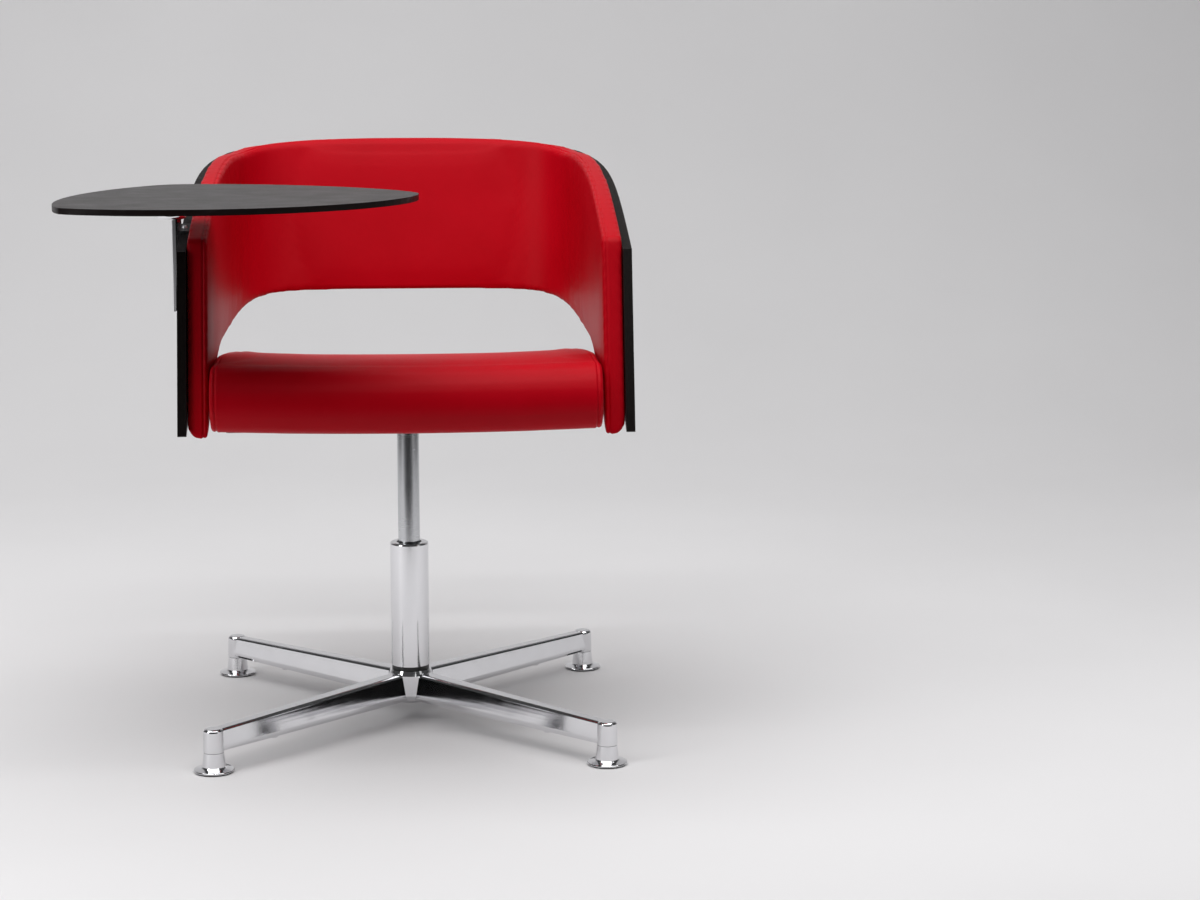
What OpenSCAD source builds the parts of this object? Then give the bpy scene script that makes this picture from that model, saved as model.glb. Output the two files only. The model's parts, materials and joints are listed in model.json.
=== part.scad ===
// Student desk chair: swivelling, height-adjustable armchair on a four-leg base, with a
// U-shaped veneered plywood band, leather pads and a swinging writing tablet.
// Millimetres. +Z up, origin on the floor under the column, the chair faces -Y.

/* [Base] */
// Radius from the column axis to each foot
foot_r = 342; // [300:1:380]
// Height of the leg top at the foot
leg_tip_h = 54; // [46:1:64]
// Height of the leg top at the hub
leg_root_h = 63.5; // [60:0.5:80]
// Underside height of the legs
leg_under_h = 27; // [22:1:32]
// Leg width at the hub
leg_root_w = 31; // [26:1:40]
// Leg width at the foot
leg_tip_w = 22; // [18:1:28]
// Radius of the hub
hub_r = 29; // [26:0.5:36]
// Diameter of each foot disc
foot_d = 50; // [44:1:60]

/* [Column] */
// Outside diameter of the stand tube
stand_d = 50; // [48:0.5:55]
// Height of the top of the stand tube
stand_top = 235.5; // [225:0.5:260]
// Diameter of the sliding pressure tube
lift_d = 28; // [27.5:0.1:30]
// Running clearance on the radius of the guided tube
run_gap = 0.04; // [0.02:0.01:0.08]

/* [Shell] */
// Half width over the plywood band
band_hw = 276.8; // [262:0.2:290]
// Depth of the band plan, front edge to back
band_depth = 482.8; // [450:0.2:510]
// Squareness exponent of the band plan
band_n = 5.1; // [3:0.1:7]
// Backward lean of the band
lean = 15.24; // [10:0.01:20]
// Thickness of the plywood
ply_t = 11; // [9:0.5:14]
// Thickness of the leather pad
pad_t = 26; // [20:0.5:32]

/* [Seat] */
// Half width of the cushion
cush_hw = 238; // [215:1:239]
// Height of the seat board plane above the column axis foot
board_h = 428.9; // [400:0.1:460]
// Backward slope of the seat
seat_slope = 7.15; // [4:0.05:10]
// Half depth of the front roll of the cushion
nose_r = 38.5; // [30:0.5:40]
// Half height of the front roll of the cushion
nose_h = 43; // [34:0.5:46]
// Depth of the seat pan
pan_deep = 37; // [32:0.5:42]
// Thickness of the leather
leather_t = 1.5; // [1:0.1:2.5]

/* [Tablet] */
// Height of the writing surface
tablet_top_h = 709; // [690:1:725]
// Thickness of the tablet board
tablet_t = 7; // [6:0.5:14]
// Mean radius of the tablet outline
tablet_r = 202.6; // [180:0.1:225]
// Length of the link between the two pivots
link_len = 75; // [60:1:90]
// Distance of the post axis from the middle of the chair
post_x = 285; // [283:0.5:292]

/* [Hidden] */
$fn = 96;
foot_az = [-45, -135, 135, 45];
band_v0 = -334.3;
back_h = 803;
screw_v = -305.2;
screw_w = 398.7;
screw_pitch = 33.35;
screw_d = 18.5;
hub_h = 66.5;
stand_foot = 72;
spigot_r = 22;
floor_z = 76;
floor_t = 8;
lift_foot = 190;
piston_z = 207;
mouth_r = 16.2;
lift_top = 405;
rod_r = 5;
pan_hw = 232;
pan_back = 218;
pan_front = -203;
nose_z = 3.5;
board_t = 10;
board_back = 180;
skin_gap = 0.05;
plate_t = 4;
strap_y = -196;
strap_w = 23;
lever_px = -34;
lever_pz = 408;
post_y = -66;
post_r = 6;
post_screw_z = [519, 535];
post_plate_z = 510;
post_foot_z = 549;
clip_v0 = -277;
clip_v1 = -252;
link_z = 672;
link_t = 10;
hub_z = 686.4;
boss_r = 19.5;
boss_y = post_y - link_len;
tab_c = [-207.2, -292.9];

// Point of the band plan at polar angle p, moved inwards by off.
function band_r(p) = pow(pow(abs(cos(p)) / band_hw, band_n)
  + pow(abs(sin(p)) / band_depth, band_n), -1 / band_n);
function band_q(p) = [band_r(p) * cos(p), band_r(p) * sin(p)];
function band_g(q) = [sign(q[0]) * pow(abs(q[0]) / band_hw, band_n - 1) / band_hw,
  pow(abs(q[1]) / band_depth, band_n - 1) / band_depth];
function band_p(p, off) = let (q = band_q(p), g = band_g(q))
  [q[0], q[1] + band_v0] - off * g / norm(g);

// Height limits of the band against its depth ratio t.
function band_top(t) = 564.9 + 282 * t - 50 * t * t + 10 * pow(t, 16);
function band_low(t) = 339.4 + 352 * t - 86 * t * t;
function pad_rise(t) = 12 - 6 * exp(-pow((t - 0.84) / 0.08, 2));
function pad_drop(t) = 2 + 17 * exp(-pow((t - 0.72) / 0.17, 2)) + 9 * exp(-pow(t / 0.1, 2));

// Arched top of the back against its distance x from the middle.
function back_top(x) = back_h - 14 * pow(abs(x) / 194, 3);

// Support curve of the tablet outline and its slope at direction a.
function tab_h(a) = tablet_r + 6.4 * cos(2 * a) + 11.4 * sin(2 * a)
  + 16.2 * cos(3 * a) - 6.5 * sin(3 * a) - 1.5 * cos(4 * a) + 5.8 * sin(4 * a);
function tab_s(a) = -12.8 * sin(2 * a) + 22.8 * cos(2 * a)
  - 48.6 * sin(3 * a) - 19.5 * cos(3 * a) + 6 * sin(4 * a) + 23.2 * cos(4 * a);
function tab_p(a) = tab_h(a) * [cos(a), sin(a)] + tab_s(a) * [-sin(a), cos(a)];

// Depth of the pan under the board plane at seat position y.
function pan_z(y) = y > 20 ? 1 - pow(min(1, (y - 20) / (pan_back - 20)), 2.2)
  : y < -165 ? sqrt(max(0, 1 - pow((-165 - y) / (-165 - pan_front), 2))) : 1;

module ring(ro, ri, h) {
  difference() {
    cylinder(r = ro, h = h);
    translate([0, 0, -1]) cylinder(r = ri, h = h + 2);
  }
}

module at_foot(i) {
  rotate([0, 0, foot_az[i]]) translate([foot_r, 0, 0]) children();
}

// ---------------------------------------------------------------- base
module leg_section() {
  w = leg_root_w / 2;
  h = leg_root_h - leg_under_h;
  c = 5;
  draft = 3.4;
  polygon(concat(
    [[-w + 2, 0], [w - 2, 0], [w, 4], [w, 8]],
    [for (a = [0 : 15 : 90]) [w - c - draft + c * cos(a), h - c + c * sin(a)]],
    [for (a = [90 : 15 : 180]) [-w + c + draft + c * cos(a), h - c + c * sin(a)]],
    [[-w, 8], [-w, 4]]));
}

module leg() {
  translate([0, 0, leg_under_h]) rotate([90, 0, 90])
    linear_extrude(foot_r, slices = 1, $fn = 0, scale = [leg_tip_w / leg_root_w,
      (leg_tip_h - leg_under_h) / (leg_root_h - leg_under_h)]) leg_section();
}

module knuckle() {
  rotate_extrude() polygon(concat(
    [[0, 25.5], [12.6, 25.5], [12.9, 27]],
    [for (a = [0 : 15 : 90]) [8.2 + 4 * cos(a), leg_tip_h - 3 + 4 * sin(a)]],
    [[0, leg_tip_h + 1]]));
}

module leg_lug() {
  translate([243, 0, leg_under_h - 4]) cylinder(d1 = 9, d2 = 12, h = 8, $fn = 48);
}

module base_star() {
  color([0.86, 0.87, 0.88]) difference() {
    union() {
      for (a = foot_az) rotate([0, 0, a]) {
        leg();
        leg_lug();
        translate([foot_r, 0, 0]) knuckle();
      }
      rotate_extrude() polygon([[0, 24], [hub_r - 6, 24], [hub_r - 3, 27], [hub_r, 34],
        [hub_r, leg_root_h - 3], [hub_r - 3, hub_h], [0, hub_h]]);
    }
    translate([0, 0, 34]) cylinder(r = spigot_r + 0.02, h = 60);
    translate([0, 0, 20]) cylinder(r = 14, h = 40);
    for (i = [0 : 3]) at_foot(i) translate([0, 0, 20]) cylinder(r = 4, h = 26);
  }
}

module glide_stems() {
  color([0.7, 0.71, 0.73]) for (i = [0 : 3]) at_foot(i) {
    translate([0, 0, 12]) cylinder(r = 4, h = 33);
    translate([0, 0, 8]) cylinder(r = 7, h = 4);
  }
}

module glide_foot(i) {
  color([0.86, 0.87, 0.88]) at_foot(i) rotate_extrude() polygon(concat(
    [[7.5, 5], [7.5, 12.4], [4.05, 12.4], [4.05, 25], [12.4, 25], [14.4, 7.5], [15.6, 5.8],
      [foot_d / 2 - 2, 4.2]],
    [for (a = [60 : -30 : -90]) [foot_d / 2 - 1.3 + 1.3 * cos(a), 2.9 + 1.3 * sin(a)]],
    [[22.5, 1.6], [22.5, 3], [0, 3], [0, 5]]));
}

module glide_pad(i) {
  color([0.09, 0.09, 0.09]) at_foot(i) rotate_extrude()
    polygon([[0, 0], [21.5, 0], [22.4, 1], [22.4, 3], [0, 3]]);
}

module base_ring() {
  color([0.05, 0.05, 0.05]) translate([0, 0, hub_h])
    ring(stand_d / 2 - 0.8, spigot_r + 0.02, stand_foot - hub_h);
}

// ---------------------------------------------------------------- column
module stand_tube() {
  r = stand_d / 2;
  color([0.86, 0.87, 0.88]) rotate_extrude() polygon([
    [18, 34], [spigot_r, 34], [spigot_r, stand_foot], [r, stand_foot], [r, stand_top - 2.4],
    [r - 0.7, stand_top - 0.7], [r - 2.4, stand_top], [mouth_r, stand_top],
    [mouth_r, stand_top - 3], [20, stand_top - 3], [20, floor_z + floor_t],
    [rod_r + 1, floor_z + floor_t], [rod_r + 1, floor_z], [18, floor_z]]);
}

module guide_bush() {
  color([0.06, 0.06, 0.06]) rotate_extrude() polygon([
    [lift_d / 2 + run_gap, 150], [19.9, 150], [19.9, stand_top - 3.1],
    [mouth_r - 0.1, stand_top - 3.1], [mouth_r - 0.1, stand_top - 1.4],
    [lift_d / 2 + 1, stand_top - 1], [lift_d / 2 + run_gap, stand_top - 1.8]]);
}

module thrust_bearing() {
  color([0.62, 0.63, 0.65]) translate([0, 0, floor_z + floor_t]) ring(11, rod_r + 0.5, 4);
}

module piston_rod() {
  color([0.75, 0.76, 0.78]) rotate_extrude() polygon([
    [0, 68], [rod_r, 68], [rod_r, 71.5], [3.8, 71.5], [3.8, 73.5], [rod_r, 73.5],
    [rod_r, 88.2], [8, 88.2], [8, 93], [rod_r, 93], [rod_r, piston_z], [11.9, piston_z],
    [11.9, piston_z + 14], [0, piston_z + 14]]);
}

module rod_clip() {
  color([0.3, 0.3, 0.32]) translate([0, 0, 71.7]) difference() {
    ring(9, 3.8, 1.6);
    translate([-1.5, -12, -1]) cube([3, 12, 4]);
  }
}

module pressure_tube() {
  r = lift_d / 2;
  color([0.78, 0.79, 0.8]) rotate_extrude() polygon([
    [rod_r + 0.05, lift_foot], [r - 1, lift_foot], [r, lift_foot + 1], [r, 393], [r - 0.8, lift_top],
    [4.05, lift_top], [4.05, 396], [7, 396], [7, 388], [12, 384], [12, lift_foot + 14],
    [rod_r + 0.05, lift_foot + 14]]);
}

module release_button() {
  color([0.55, 0.56, 0.58]) union() {
    translate([0, 0, 393]) cylinder(r = 4, h = 409.2 - 393, $fn = 48);
    translate([0, 0, 390]) cylinder(r = 6, h = 3, $fn = 48);
  }
}

// ---------------------------------------------------------------- seat
module seat_frame() {
  translate([0, 0, board_h]) rotate([-seat_slope, 0, 0]) children();
}

// Side outline, depth and height, spread across the width 2 * hw.
module side_extrude(hw) {
  translate([-hw, 0, 0]) rotate([90, 0, 90]) linear_extrude(2 * hw) children();
}

module seat_plate() {
  color([0.12, 0.12, 0.13]) difference() {
    union() {
      seat_frame() translate([-90, -75, -board_t - plate_t]) cube([180, 150, plate_t]);
      difference() {
        translate([0, 0, 399]) cylinder(r = 22, h = 21);
        seat_frame() translate([-40, -40, -board_t - plate_t / 2]) cube([80, 80, 30]);
      }
      for (s = [-1, 1]) difference() {
        translate([lever_px - 5, s * 8 - 1.5, 402]) cube([10, 3, 16]);
        seat_frame() translate([-80, -40, -board_t - plate_t / 2]) cube([80, 80, 30]);
      }
    }
    translate([0, 0, 393]) cylinder(r1 = lift_d / 2 + 0.03, r2 = lift_d / 2 - 0.77, h = 12);
    translate([0, 0, lift_top - 1]) cylinder(r = 13, h = 10.2);
    seat_frame() for (p = plate_screw_xy()) translate([p[0], p[1], -20])
      cylinder(r = 2.52, h = 20, $fn = 48);
    translate([-24, -6.3, 405]) cube([24, 12.6, 9.2]);
    translate([lever_px, 20, lever_pz]) rotate([90, 0, 0]) cylinder(r = 2.52, h = 40, $fn = 48);
  }
}

module release_lever() {
  color([0.08, 0.08, 0.08]) difference() {
    union() {
      translate([0, 5, 0]) rotate([90, 0, 0]) linear_extrude(10) polygon([
        [5, 409.6], [5, 412.6], [-29, 413], [-40, 411.5], [-92, 404], [-140, 391.5],
        [-158, 388.5], [-208, 388.5], [-208, 384], [-160, 384], [-142, 386], [-90, 398.5],
        [-39, 403.6], [-31, 403.6], [-27, 409.6]]);
      translate([-219, 0, 384]) linear_extrude(4.5)
        offset(r = 6, $fn = 32) square([18, 22], center = true);
    }
    translate([lever_px, 20, lever_pz]) rotate([90, 0, 0]) cylinder(r = 2.56, h = 40, $fn = 48);
  }
}

module lever_pin() {
  color([0.6, 0.61, 0.63]) translate([lever_px, 11, lever_pz]) rotate([90, 0, 0])
    cylinder(r = 2.5, h = 22, $fn = 48);
}

// Plan with front corner radius rf and back corner radius rb.
module rounded_plan(hw, y0, y1, rf, rb) {
  hull() {
    for (s = [-1, 1]) {
      translate([s * (hw - rf), y0 + rf]) circle(r = rf);
      translate([s * (hw - rb), y1 - rb]) circle(r = rb);
    }
  }
}

// Solid bowl of the pan, inset by the wall thickness for its inside.
module pan_body(inset) {
  d = pan_deep - inset;
  hw = pan_hw - inset;
  intersection() {
    side_extrude(hw) polygon(concat([[pan_back - inset, 0], [pan_front + inset, 0]],
      [for (k = [0 : 8]) let (y = pan_front + inset + 38 * (1 - cos(k * 11.25)))
        [y, -d * pan_z(y - inset * (8 - k) / 8)]],
      [for (y = [20 : 18 : pan_back - 12]) [y, -d * pan_z(y)]]));
    translate([0, 260, 0]) rotate([90, 0, 0]) linear_extrude(520) polygon([
      [-hw, 1], [-hw + 3, -8], [-hw + 11, -22], [-hw + 22, -31], [-hw + 44, -pan_deep],
      [hw - 44, -pan_deep], [hw - 22, -31], [hw - 11, -22], [hw - 3, -8], [hw, 1]]);
    translate([0, 0, -60]) linear_extrude(61)
      rounded_plan(hw, pan_front + inset, pan_back - inset, 30, 75);
  }
}

module seat_pan() {
  color([0.32, 0.33, 0.32]) difference() {
    seat_frame() difference() {
      pan_body(0);
      translate([0, 0, 0.02]) pan_body(3);
      for (s = [-1, 1]) translate([s * 225 - 15, strap_y - 1, -board_t - plate_t - 0.5])
        cube([30, strap_w + 2, 20]);
    }
    translate([0, 0, 370]) cylinder(r = 17, h = 40);
    translate([-203, -8, 370]) cube([110, 16, 40]);
  }
}

module seat_board() {
  color([0.72, 0.58, 0.4]) seat_frame() difference() {
    translate([0, 0, -board_t]) linear_extrude(board_t)
      rounded_plan(pan_hw - 14, pan_front + 5, board_back, 28, 45);
    for (p = board_screw_xy()) translate([p[0], p[1], -board_t - 1])
      cylinder(r = 2.52, h = 9, $fn = 48);
  }
}

function plate_screw_xy() = [for (x = [-78, 78], y = [-60, 60]) [x, y]];
function strap_screw_xy() = [for (x = [-150, -60, 60, 150]) [x, -185]];
function board_screw_xy() = concat(plate_screw_xy(), strap_screw_xy());

module board_screws() {
  color([0.62, 0.63, 0.65]) seat_frame() for (p = board_screw_xy()) translate([p[0], p[1], 0]) {
    translate([0, 0, -board_t - plate_t - 3]) cylinder(r = 5, h = 3, $fn = 48);
    translate([0, 0, -board_t - plate_t]) cylinder(r = 2.5, h = plate_t + 7, $fn = 48);
  }
}

module cushion_side() {
  polygon(concat(
    [[-204, 0], [-204, -16], [-208, -24]],
    [for (a = [300 : -10 : 90]) [-227.5 + nose_r * cos(a), nose_z + nose_h * sin(a)]],
    [for (a = [86 : -14 : 2]) [225 + 12 * cos(a), 40 + 12 * sin(a)]],
    [[238, 30], [238, 14]],
    [for (a = [0 : -22.5 : -90]) [224 + 14 * cos(a), 14 + 14 * sin(a)]]));
}

// Cushion body, shrunk on every side by e.
module cushion_body(e) {
  seat_frame() intersection() {
    side_extrude(cush_hw - e) offset(delta = -e) cushion_side();
    translate([0, 0, -60]) linear_extrude(130)
      rounded_plan(cush_hw - e, -268 + e, 238 - e, 12, 78 - e);
  }
}

module seat_foam() {
  color([0.9, 0.88, 0.8]) cushion_body(leather_t + skin_gap);
}

module seat_cover() {
  color([0.72, 0.02, 0.05]) difference() {
    cushion_body(0);
    cushion_body(leather_t);
  }
}

// ---------------------------------------------------------------- shell
module shell_frame() {
  rotate([-lean, 0, 0]) children();
}

// Plan of the band between two inward offsets.
module band_strip(o0, o1) {
  polygon(concat([for (p = [0 : 3 : 180]) band_p(p, o0)],
    [for (p = [180 : -3 : 0]) band_p(p, o1)]));
}

// Side outline of the band, raised and dropped for the pad and shrunk by e.
module band_side(rise, drop, e = 0) {
  side_extrude(band_hw + 2) polygon(concat(
    [for (k = [0 : 20]) let (t = k / 20)
      [band_v0 + t * band_depth, band_top(t) + rise * pad_rise(t) - e]],
    [for (k = [20 : -1 : 0]) let (t = k / 20)
      [band_v0 + t * band_depth, band_low(t) - drop * pad_drop(t) + e]]));
}

// Front outline under the arched top of the back, lowered by e.
module back_arch(e = 0) {
  hw = band_hw + 2;
  translate([0, band_v0 + band_depth + 1, 0]) rotate([90, 0, 0]) linear_extrude(band_depth + 2)
    polygon(concat([[hw, 300], [-hw, 300]], [for (x = [-hw : hw / 14 : hw]) [x, back_top(x) - e]]));
}

// Frames at the shell screws, +Z pointing into the band.
module screw_spots() {
  for (s = [-1, 1], k = [0 : 2]) translate([s * band_hw, screw_v, screw_w + k * screw_pitch])
    rotate([0, -s * 90, 0]) children();
}

module plywood_band() {
  color([0.09, 0.06, 0.055]) shell_frame() difference() {
    intersection() {
      translate([0, 0, 300]) linear_extrude(540) band_strip(0, ply_t);
      band_side(0, 0);
      back_arch();
    }
    screw_spots() translate([0, 0, -3]) cylinder(d = screw_d + 0.04, h = 5.5);
    screw_spots() cylinder(r = 3.02, h = 20, $fn = 48);
    post_holes();
  }
}

// Upright tabs of the strap, grown on every side by g.
module strap_tabs(g) {
  for (s = [-1, 1]) shell_frame()
    translate([s * (band_hw - ply_t - 2.7) - 2.5 - g, -318 - g, 371 - g])
      cube([5 + 2 * g, 30 + 2 * g, 109 + 2 * g]);
}

module strap_bar(g) {
  hw = band_hw - ply_t - 1;
  seat_frame() translate([-hw, strap_y - g, -board_t - plate_t - g])
    cube([2 * hw, strap_w + 2 * g, plate_t + g]);
}

module shell_strap() {
  color([0.1, 0.1, 0.11]) difference() {
    union() {
      strap_tabs(0);
      strap_bar(0);
    }
    shell_frame() screw_spots() cylinder(r = 3.02, h = 30, $fn = 48);
    seat_frame() for (p = strap_screw_xy()) translate([p[0], p[1], -20])
      cylinder(r = 2.52, h = 20, $fn = 48);
  }
}

// Pad body inside the band, shrunk on every side by e.
module pad_body(e) {
  shell_frame() intersection() {
    translate([0, 0, 300]) linear_extrude(560) difference() {
      band_strip(ply_t + e, ply_t + pad_t - e);
      translate([-300, band_v0 - 10]) square([600, 16 + e]);
    }
    band_side(1, 1, e);
    back_arch(e);
  }
}

// Room in the pad for the strap and the screw tips.
module pad_cuts(g) {
  strap_tabs(g);
  strap_bar(g);
  shell_frame() screw_spots() translate([0, 0, 5]) cylinder(r = 3.3 + g, h = 16, $fn = 48);
}

module pad_foam() {
  color([0.9, 0.88, 0.8]) difference() {
    pad_body(leather_t + skin_gap);
    pad_cuts(1);
  }
}

module pad_cover() {
  color([0.72, 0.02, 0.05]) difference() {
    pad_body(0);
    pad_body(leather_t);
    pad_cuts(0.3);
  }
}

module shell_screws() {
  color([0.72, 0.73, 0.74]) shell_frame() screw_spots() {
    cylinder(d = screw_d, h = 2.5);
    cylinder(r = 3, h = 16, $fn = 48);
  }
}

// ---------------------------------------------------------------- tablet
// Screw holes for the tablet post, inside the leaning band.
module post_holes() {
  rotate([lean, 0, 0]) for (z = post_screw_z) translate([-band_hw - 2, post_y, z]) rotate([0, 90, 0])
    cylinder(r = 2, h = ply_t + 1, $fn = 48);
}

module tablet_post() {
  color([0.86, 0.87, 0.88]) difference() {
    union() {
      translate([-post_x, post_y, post_foot_z]) cylinder(r = post_r, h = link_z - 0.4 - post_foot_z);
      translate([-post_x, post_y, post_foot_z]) cylinder(r = 5, h = link_z + link_t + 4 - post_foot_z);
      translate([-post_x, post_y, post_foot_z]) sphere(r = post_r, $fn = 32);
      translate([-band_hw - 5.2, post_y - 8, post_plate_z])
        cube([5, 16, post_foot_z + 8 - post_plate_z]);
    }
    for (z = post_screw_z) translate([-band_hw - 12, post_y, z]) rotate([0, 90, 0])
      cylinder(r = 2.02, h = 20, $fn = 48);
    translate([-band_hw - 0.2, post_y - 20, post_plate_z - 8])
      cube([10, 40, link_z + 4 - post_plate_z]);
  }
}

module post_screws() {
  color([0.7, 0.71, 0.73]) for (z = post_screw_z) translate([-band_hw - 5.2, post_y, z])
    rotate([0, 90, 0]) {
      translate([0, 0, -2.2]) cylinder(r1 = 3.2, r2 = 4.2, h = 2.2, $fn = 48);
      cylinder(r = 2, h = 15, $fn = 48);
    }
}

module edge_clip() {
  color([0.07, 0.07, 0.07]) shell_frame() {
    translate([-band_hw - 3, 0, 0]) rotate([90, 0, 90]) linear_extrude(3) clip_outline(-14);
    translate([-band_hw - 3, 0, 0]) rotate([90, 0, 90]) linear_extrude(ply_t + 2.6) clip_outline(0);
  }
}

// Saddle outline over the band's top edge, reaching down to the offset low.
module clip_outline(low) {
  polygon([for (q = [[clip_v0, low], [clip_v0, 3], [clip_v1, 3], [clip_v1, low]])
    [q[0], edge_w(q[0]) + q[1]]]);
}

function edge_w(v) = band_top((v - band_v0) / band_depth) + 0.1;

module clip_screw() {
  v = (clip_v0 + clip_v1) / 2;
  slope = atan2(edge_w(clip_v1) - edge_w(clip_v0), clip_v1 - clip_v0);
  color([0.7, 0.71, 0.73]) shell_frame() translate([-band_hw + 4, v, edge_w(v) + 3])
    rotate([slope, 0, 0]) cylinder(r1 = 3.6, r2 = 2.6, h = 1.8, $fn = 48);
}

module link_plan() {
  hull() {
    translate([-post_x, post_y]) circle(r = 9);
    translate([-post_x, boss_y]) circle(r = 11);
  }
}

module link_arm() {
  color([0.86, 0.87, 0.88]) difference() {
    union() {
      translate([0, 0, link_z]) linear_extrude(link_t) link_plan();
      translate([-post_x, post_y, link_z + 3]) cylinder(r = 18, h = link_t - 3);
      translate([-post_x, boss_y, 0]) rotate_extrude() polygon(concat(
        [[0, hub_z - 0.4 - 16], [boss_r - 6, hub_z - 16.4]],
        [for (a = [-90 : 15 : 0]) [boss_r - 6 + 6 * cos(a), hub_z - 10.4 + 6 * sin(a)]],
        [[boss_r, hub_z - 0.4], [0, hub_z - 0.4]]));
    }
    translate([-post_x, post_y, link_z - 1]) cylinder(r = 5.05, h = link_t + 2);
    translate([-post_x, boss_y, link_z + 2]) cylinder(r = 5, h = 20);
  }
}

module link_cap() {
  color([0.8, 0.81, 0.82]) translate([-post_x, post_y, link_z + link_t + 0.3]) difference() {
    cylinder(r1 = 10, r2 = 8.5, h = 5.5);
    translate([0, 0, -1]) cylinder(r = 5, h = 4.7);
  }
}

module hub_pin() {
  color([0.7, 0.71, 0.73]) translate([-post_x, boss_y, link_z + 2]) cylinder(r = 5, h = 20.8);
}

module tablet_hub() {
  z1 = tablet_top_h - tablet_t;
  color([0.86, 0.87, 0.88]) difference() {
    union() {
      translate([-post_x, boss_y, hub_z]) cylinder(r = boss_r, h = z1 - hub_z);
      translate([-post_x - 10, boss_y - 30, z1 - 2.5]) cube([92, 60, 2.5]);
    }
    translate([-post_x, boss_y, hub_z - 1]) cylinder(r = 5.05, h = 10);
    for (p = hub_screw_xy()) translate([p[0], p[1], z1 - 5]) cylinder(r = 2.02, h = 8, $fn = 48);
  }
}

function hub_screw_xy() = [for (x = [28, 72], y = [-22, 22]) [-post_x + x, boss_y + y]];

module hub_screws() {
  z1 = tablet_top_h - tablet_t;
  color([0.7, 0.71, 0.73]) for (p = hub_screw_xy()) translate([p[0], p[1], 0]) {
    translate([0, 0, z1 - 4.5]) cylinder(r = 4, h = 2, $fn = 48);
    translate([0, 0, z1 - 2.5]) cylinder(r = 2, h = 7, $fn = 48);
  }
}

module tablet_top() {
  color([0.2, 0.19, 0.19]) difference() {
    translate([tab_c[0], tab_c[1], tablet_top_h - tablet_t]) linear_extrude(tablet_t)
      polygon([for (a = [0 : 4 : 356]) tab_p(a)]);
    for (p = hub_screw_xy()) translate([p[0], p[1], tablet_top_h - tablet_t - 1])
      cylinder(r = 2.02, h = 5.7, $fn = 48);
  }
}

base_star();
glide_stems();
glide_foot(1);  // glide_foot_fr
glide_foot(0);  // glide_foot_fl
glide_foot(3);  // glide_foot_bl
glide_foot(2);  // glide_foot_br
glide_pad(1);  // glide_pad_fr
glide_pad(0);  // glide_pad_fl
glide_pad(3);  // glide_pad_bl
glide_pad(2);  // glide_pad_br
base_ring();
stand_tube();
guide_bush();
thrust_bearing();
piston_rod();
rod_clip();
pressure_tube();
release_button();
seat_plate();
release_lever();
lever_pin();
seat_pan();
seat_board();
board_screws();
seat_foam();
seat_cover();
shell_strap();
plywood_band();
pad_foam();
pad_cover();
shell_screws();
tablet_post();
post_screws();
edge_clip();
clip_screw();
link_arm();
link_cap();
hub_pin();
tablet_hub();
hub_screws();
tablet_top();
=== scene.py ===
"""Student desk chair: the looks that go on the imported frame. Metres, +Z up, the chair faces -Y."""

import json
import math

import bmesh
import bpy
import numpy as np
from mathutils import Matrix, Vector
from mathutils.bvhtree import BVHTree
from mathutils.kdtree import KDTree


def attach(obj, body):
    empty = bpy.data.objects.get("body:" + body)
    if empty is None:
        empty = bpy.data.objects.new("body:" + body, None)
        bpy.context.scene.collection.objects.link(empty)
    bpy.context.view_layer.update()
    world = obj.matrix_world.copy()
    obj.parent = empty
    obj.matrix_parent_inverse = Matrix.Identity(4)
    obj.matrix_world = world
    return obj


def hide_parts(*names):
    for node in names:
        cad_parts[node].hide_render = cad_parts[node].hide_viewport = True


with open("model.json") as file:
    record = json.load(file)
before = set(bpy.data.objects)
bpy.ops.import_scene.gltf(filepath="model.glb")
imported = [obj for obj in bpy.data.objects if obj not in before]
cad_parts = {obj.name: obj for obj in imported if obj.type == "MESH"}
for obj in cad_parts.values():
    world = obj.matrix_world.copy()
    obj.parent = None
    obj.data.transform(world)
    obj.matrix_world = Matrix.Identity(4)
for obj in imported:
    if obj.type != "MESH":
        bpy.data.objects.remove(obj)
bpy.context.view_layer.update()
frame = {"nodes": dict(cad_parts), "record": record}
nodes = frame["nodes"]

# All lengths are in metres. The shell and its pad, as in the part's source.
BAND_HALF_WIDTH = 0.2768
BAND_DEPTH = 0.4828
BAND_POWER = 5.1
BAND_FRONT = -0.3343
PLY = 0.011
PAD = 0.026
LEAN = math.radians(15.24)
# The seat and its waterfall front, in the plane of the sloping board.
SEAT_SLOPE = math.radians(7.15)
SEAT_BASE = 0.4289
SEAT_HALF_WIDTH = 0.238
NOSE_Y, NOSE_Z = -0.2275, 0.0035
NOSE_DEEP, NOSE_HIGH = 0.0385, 0.043
SEAT_REAR, SEAT_CORNER = 0.238, 0.078

# The sewn leather itself. Its ends and edges differ from the CAD's by some millimetres.
SEAT_THICK, NOSE_REAR = 0.052, -0.2045
SEAT_DISH, SEAT_END_RISE = 0.0045, 0.0085
SEAT_INSET, SEAT_SKIN = 0.0015, 0.0022
PAD_INNER_ROUND, PAD_OUTER_ROUND, PAD_FOOT_ROUND = 0.0060, 0.0040, 0.0165
PAD_SKIN_OUT, PAD_SKIN_IN = 0.0002, 0.0003
PAD_FRONT_GAP = 0.0062

# Mesh sizes of the skins before inflation, frames of cloth, and step along a seam.
PAD_VOXEL, SEAT_VOXEL = 0.0044, 0.0048
CLOTH_STEPS = 20
SEAM_STEP = 0.0008


def in_shell(points):
    """Shell coordinates (x, depth, height along the lean) to the row frame."""
    x, v, w = np.moveaxis(np.asarray(points, float), -1, 0)
    c, s = math.cos(LEAN), math.sin(LEAN)
    return np.stack([x, v * c + w * s, w * c - v * s], -1)


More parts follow.
